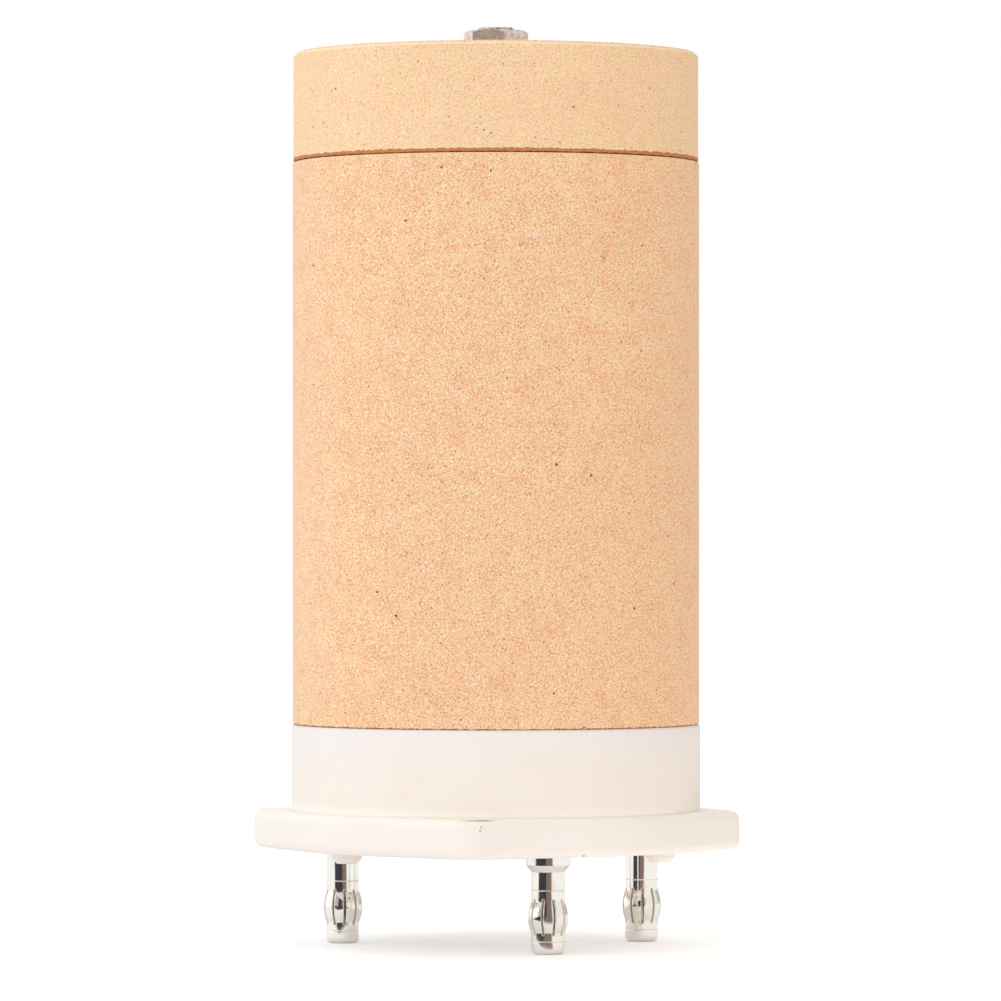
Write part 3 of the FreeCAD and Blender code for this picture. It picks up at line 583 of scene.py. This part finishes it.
def threadedEnd():  # a V section turned and lifted as an M4 thread, cut flat at both ends
    half = rodMake["pitchMm"] / 2 * mm
    root = rodMake["radiusMm"] * mm - half
    deselect()
    bpy.ops.mesh.primitive_circle_add(
        vertices=4, radius=half, location=(root, 0, 0), rotation=(math.pi / 2, 0, 0),
    )
    thread = bpy.context.object
    applyPlace(thread)
    bpy.ops.object.mode_set(mode="EDIT")
    bpy.ops.mesh.select_mode(type="VERT")
    pick(thread, lambda co: co.x < root - half / 2)
    bpy.ops.mesh.delete(type="VERT")
    bpy.ops.object.mode_set(mode="OBJECT")
    screw = thread.modifiers.new("thread", "SCREW")
    screw.axis = "Z"
    screw.angle = math.tau
    screw.screw_offset = 2 * half
    screw.iterations = round(rodMake["threadMm"] / rodMake["pitchMm"]) + 3
    screw.steps = screw.render_steps = rodMake["steps"]
    applyModifiers(thread)
    bpy.ops.object.mode_set(mode="EDIT")
    bpy.ops.mesh.select_all(action="SELECT")
    bpy.ops.mesh.remove_doubles(threshold=0.01 * mm)
    low = 3 * half
    high = low + rodMake["threadMm"] * mm
    for plane, outward in ((low, -1), (high, 1)):
        bpy.ops.mesh.select_all(action="SELECT")
        bpy.ops.mesh.bisect(
            plane_co=(0, 0, plane), plane_no=(0, 0, outward), use_fill=True, clear_outer=True,
        )
    pick(thread, lambda co: co.z < low + 0.01 * mm)
    bpy.ops.transform.resize(value=(rodMake["taper"], rodMake["taper"], 1), center_override=(0, 0, low))
    bpy.ops.mesh.select_all(action="SELECT")
    bpy.ops.mesh.normals_make_consistent(inside=False)
    bpy.ops.object.mode_set(mode="OBJECT")
    thread.location = (0, 0, rodLow.z - low)
    applyPlace(thread)
    return thread


def peenedShaft():  # the plain shaft, with its upper end hammered over the nut
    foot = rodLow.z + rodMake["threadMm"] * mm
    headZ = rodHigh.z - rodMake["headMm"] * mm
    brimZ = rodHigh.z - rodMake["headMm"] / 2 * mm
    tiny = 0.01 * mm
    deselect()
    bpy.ops.mesh.primitive_cylinder_add(
        vertices=rodMake["sides"], radius=rodMake["radiusMm"] * mm, depth=rodHigh.z - foot,
        location=(0, 0, (rodHigh.z + foot) / 2),
    )
    shaft = bpy.context.object
    applyPlace(shaft)
    bpy.ops.object.mode_set(mode="EDIT")
    for height in (headZ, brimZ):
        bpy.ops.mesh.select_all(action="SELECT")
        bpy.ops.mesh.bisect(plane_co=(0, 0, height), plane_no=(0, 0, 1))
    pick(shaft, lambda co: abs(co.z - brimZ) < tiny)
    bpy.ops.transform.resize(value=(rodMake["swell"], rodMake["swell"], 1), center_override=(0, 0, brimZ))
    pick(shaft, lambda co: co.z > rodHigh.z - tiny)
    bpy.ops.mesh.select_mode(type="FACE")
    for _ in range(rodMake["insets"]):
        bpy.ops.mesh.inset(thickness=rodMake["insetMm"] * mm, depth=0)
    bpy.ops.mesh.select_mode(type="VERT")
    pick(shaft, lambda co: co.z > rodHigh.z - tiny)
    bpy.ops.transform.translate(value=(0, 0, -rodMake["hammerMm"] / 2 * mm))
    bpy.ops.object.mode_set(mode="OBJECT")
    head = shaft.vertex_groups.new(name="head")
    head.add([v.index for v in shaft.data.vertices if v.co.z > brimZ - tiny], 1.0, "REPLACE")
    lumps = bpy.data.textures.new("hammered", "CLOUDS")
    lumps.noise_scale = rodMake["lumpMm"] * mm
    lumps.noise_depth = 1
    hammer = shaft.modifiers.new("hammered", "DISPLACE")
    hammer.texture = lumps
    hammer.texture_coords = "LOCAL"
    hammer.direction = "Z"
    hammer.mid_level = 0.5
    hammer.strength = rodMake["hammerMm"] * mm
    hammer.vertex_group = "head"
    applyModifiers(shaft)
    return shaft


threadPiece = threadedEnd()
shaftPiece = peenedShaft()
choose(shaftPiece, threadPiece)
bpy.ops.object.join()
tieRod = bpy.context.object
tieRod.name = tieRod.data.name = "tie_rod_peened"
bpy.ops.object.shade_smooth_by_angle(angle=math.radians(35))
tieRod.data.materials.clear()
tieRod.data.materials.append(plainSteel("SteelHammered", "#f3ece6", "#998a7f", 0.28, 0.08))
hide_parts("tie_rod")
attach(tieRod, "root")
print("tie rod:", len(tieRod.data.polygons), "faces")


# floor, light and camera
studio = {
    "floorColour": "#f6f6f5", "floorGlow": 0.07, "seenGlow": 0.15, "bounce": 0.3, "floorSize": 8.0,
    "left": (0.93, 1.0, 1.08), "middle": (1.06, 1.06, 1.06), "right": (0.5, 0.43, 0.385),
    "key": 0.8, "shine": 0.8, "mirrored": (0.86, 0.85, 0.84), "mirroredBack": (0.5, 0.49, 0.48),
    "darkFrom": -60, "brownFrom": -8, "darkTo": 23, "darkTop": 0.7,  # degrees from the camera's side, rise
    "black": "#3c3c46", "brown": "#85716b", "clearMm": 28, "clearEdgeMm": 8,
    "cardEdgeMm": 30, "cardFromMm": 35, "cardToMm": 100,
    "keyPlace": (-0.75, -0.85, 0.45), "keyAim": (0, 0, 0.05), "keySize": (0.7, 0.9),
}


def darkRoom(tree, x, y, rays):  # what polished metal mirrors of the dark room past the table, and where
    behind = addNode(tree, "Math", [y, -1], operation="MULTIPLY")
    turn = addNode(tree, "Math", [x, behind], operation="ARCTAN2")
    soft = math.radians(3)
    first, middle, last = (math.radians(studio[k]) for k in ("darkFrom", "brownFrom", "darkTo"))
    seen = between(tree, turn, (first - soft, first + soft), (last - soft, last + soft))
    colour = overlay(tree, linear(studio["black"]), linear(studio["brown"]), turn,
                     (middle - soft, middle + soft))
    return addNode(tree, "Math", [seen, rays.outputs["Is Glossy Ray"]], operation="MULTIPLY"), colour


deselect()
bpy.ops.mesh.primitive_plane_add(size=studio["floorSize"], location=(0, 0, 0))
floor = bpy.context.object
floor.name = "studio_floor"
material, tree, place = newMaterial("StudioFloorPaper")
rays = addNode(tree, "LightPath")
paper = addNode(tree, "BsdfDiffuse", {"Color": linear(studio["floorColour"])})
axes = addNode(tree, "SeparateXYZ", [place])
away = addNode(tree, "VectorMath", [place], operation="LENGTH").outputs["Value"]
edge = studio["cardEdgeMm"] * mm
onRight = addNode(tree, "MapRange", [axes.outputs["X"], -edge, edge], **smooth)
near = addNode(tree, "MapRange", [away, studio["cardFromMm"] * mm, studio["cardToMm"] * mm, 1, 0], **smooth)
card = addNode(tree, "Math", [onRight, near], operation="MULTIPLY")  # lifts the flange on the right
card = addNode(tree, "Math", [card, studio["bounce"]], operation="MULTIPLY")
card = addNode(tree, "Math", [card, rays.outputs["Is Diffuse Ray"]], operation="MULTIPLY")
brightness = addNode(tree, "Math", [rays.outputs["Is Camera Ray"], studio["seenGlow"]], operation="MULTIPLY")
brightness = addNode(tree, "Math", [brightness, card], operation="ADD")
brightness = addNode(tree, "Math", [brightness, studio["floorGlow"]], operation="ADD")
glow = addNode(tree, "Emission", {"Color": (1, 1, 1, 1), "Strength": brightness})
both = addNode(tree, "AddShader", [paper, glow])
mirrored, roomColour = darkRoom(tree, axes.outputs["X"], axes.outputs["Y"], rays)
clear = studio["clearMm"] * mm
past = addNode(tree, "MapRange", [away, clear, clear + studio["clearEdgeMm"] * mm], **smooth)
mirrored = addNode(tree, "Math", [mirrored, past], operation="MULTIPLY")
room = addNode(tree, "Emission", {"Color": roomColour, "Strength": 1})
shader = addNode(tree, "MixShader", [mirrored, both, room])
addNode(tree, "OutputMaterial", {"Surface": shader})
floor.data.materials.append(material)

world = bpy.data.worlds.new("StudioWorld")
bpy.context.scene.world = world
world.use_nodes = True
tree = world.node_tree
tree.nodes.clear()
rays = addNode(tree, "LightPath")
direction = addNode(tree, "TexCoord").outputs["Generated"]
axes = addNode(tree, "SeparateXYZ", [direction])
light = overlay(tree, [*studio["middle"], 1], [*studio["left"], 1], axes.outputs["X"], (-0.1, -0.9))
light = overlay(tree, light, [*studio["right"], 1], axes.outputs["X"], (0.2, 1.0))
onRight = addNode(tree, "MapRange", [axes.outputs["X"], 0.2, 0.6], **smooth)
behind = addNode(tree, "MapRange", [axes.outputs["Y"], 0.1, 0.6], **smooth)
back = addNode(tree, "Math", [onRight, behind], operation="MULTIPLY")
polished = addNode(tree, "Mix", {
    0: back, 6: [*studio["mirrored"], 1], 7: [*studio["mirroredBack"], 1],
}, **inColour)
light = addNode(tree, "Mix", {0: rays.outputs["Is Glossy Ray"], 6: light, 7: polished}, **inColour)
mirrored, roomColour = darkRoom(tree, axes.outputs["X"], axes.outputs["Y"], rays)
low = addNode(tree, "MapRange", [
    axes.outputs["Z"], studio["darkTop"] + 0.05, studio["darkTop"] - 0.05,
], **smooth)
mirrored = addNode(tree, "Math", [mirrored, low], operation="MULTIPLY")
light = addNode(tree, "Mix", {0: mirrored, 6: light, 7: roomColour}, **inColour)
light = addNode(tree, "Mix", {0: rays.outputs["Is Camera Ray"], 6: light, 7: (1, 1, 1, 1)}, **inColour)
# a strip light far to the left, which polished metal alone sees
strip = addNode(tree, "MapRange", [axes.outputs["X"], -0.4, -0.95, 0, studio["shine"]], **smooth)
shine = addNode(tree, "Math", [rays.outputs["Is Glossy Ray"], strip], operation="MULTIPLY")
strength = addNode(tree, "Math", [shine, 1], operation="ADD")
shader = addNode(tree, "Background", {"Color": light, "Strength": strength})
addNode(tree, "OutputWorld", {"Surface": shader})

deselect()
bpy.ops.object.light_add(type="AREA", location=studio["keyPlace"])
key = bpy.context.object
key.name = "key_softbox"
key.data.shape = "RECTANGLE"
key.data.size, key.data.size_y = studio["keySize"]
key.data.energy = studio["key"]
key.rotation_euler = (Vector(studio["keyAim"]) - key.location).to_track_quat("-Z", "Y").to_euler()

# The camera looks along +Y, turned a little so that the rod's axis and the horizon fall on their pixels.
deselect()
turn = math.atan((photo["frame"] / 2 - photo["axisX"]) / photo["pixels"])
lift = math.atan((photo["horizonY"] - photo["frame"] / 2) / photo["pixels"])
bpy.ops.object.camera_add(
    location=(0, -photo["distance"], photo["height"]),
    rotation=(math.pi / 2 + lift, 0, -turn),
)
camera = bpy.context.object
camera.name = "photo_camera"
camera.data.sensor_width = photo["sensorMm"]
camera.data.lens = photo["sensorMm"] * photo["pixels"] / photo["frame"]
camera.data.clip_start = 0.01
bpy.context.scene.camera = camera
bpy.context.scene.view_settings.view_transform = "Standard"
print("floor, light and camera set")
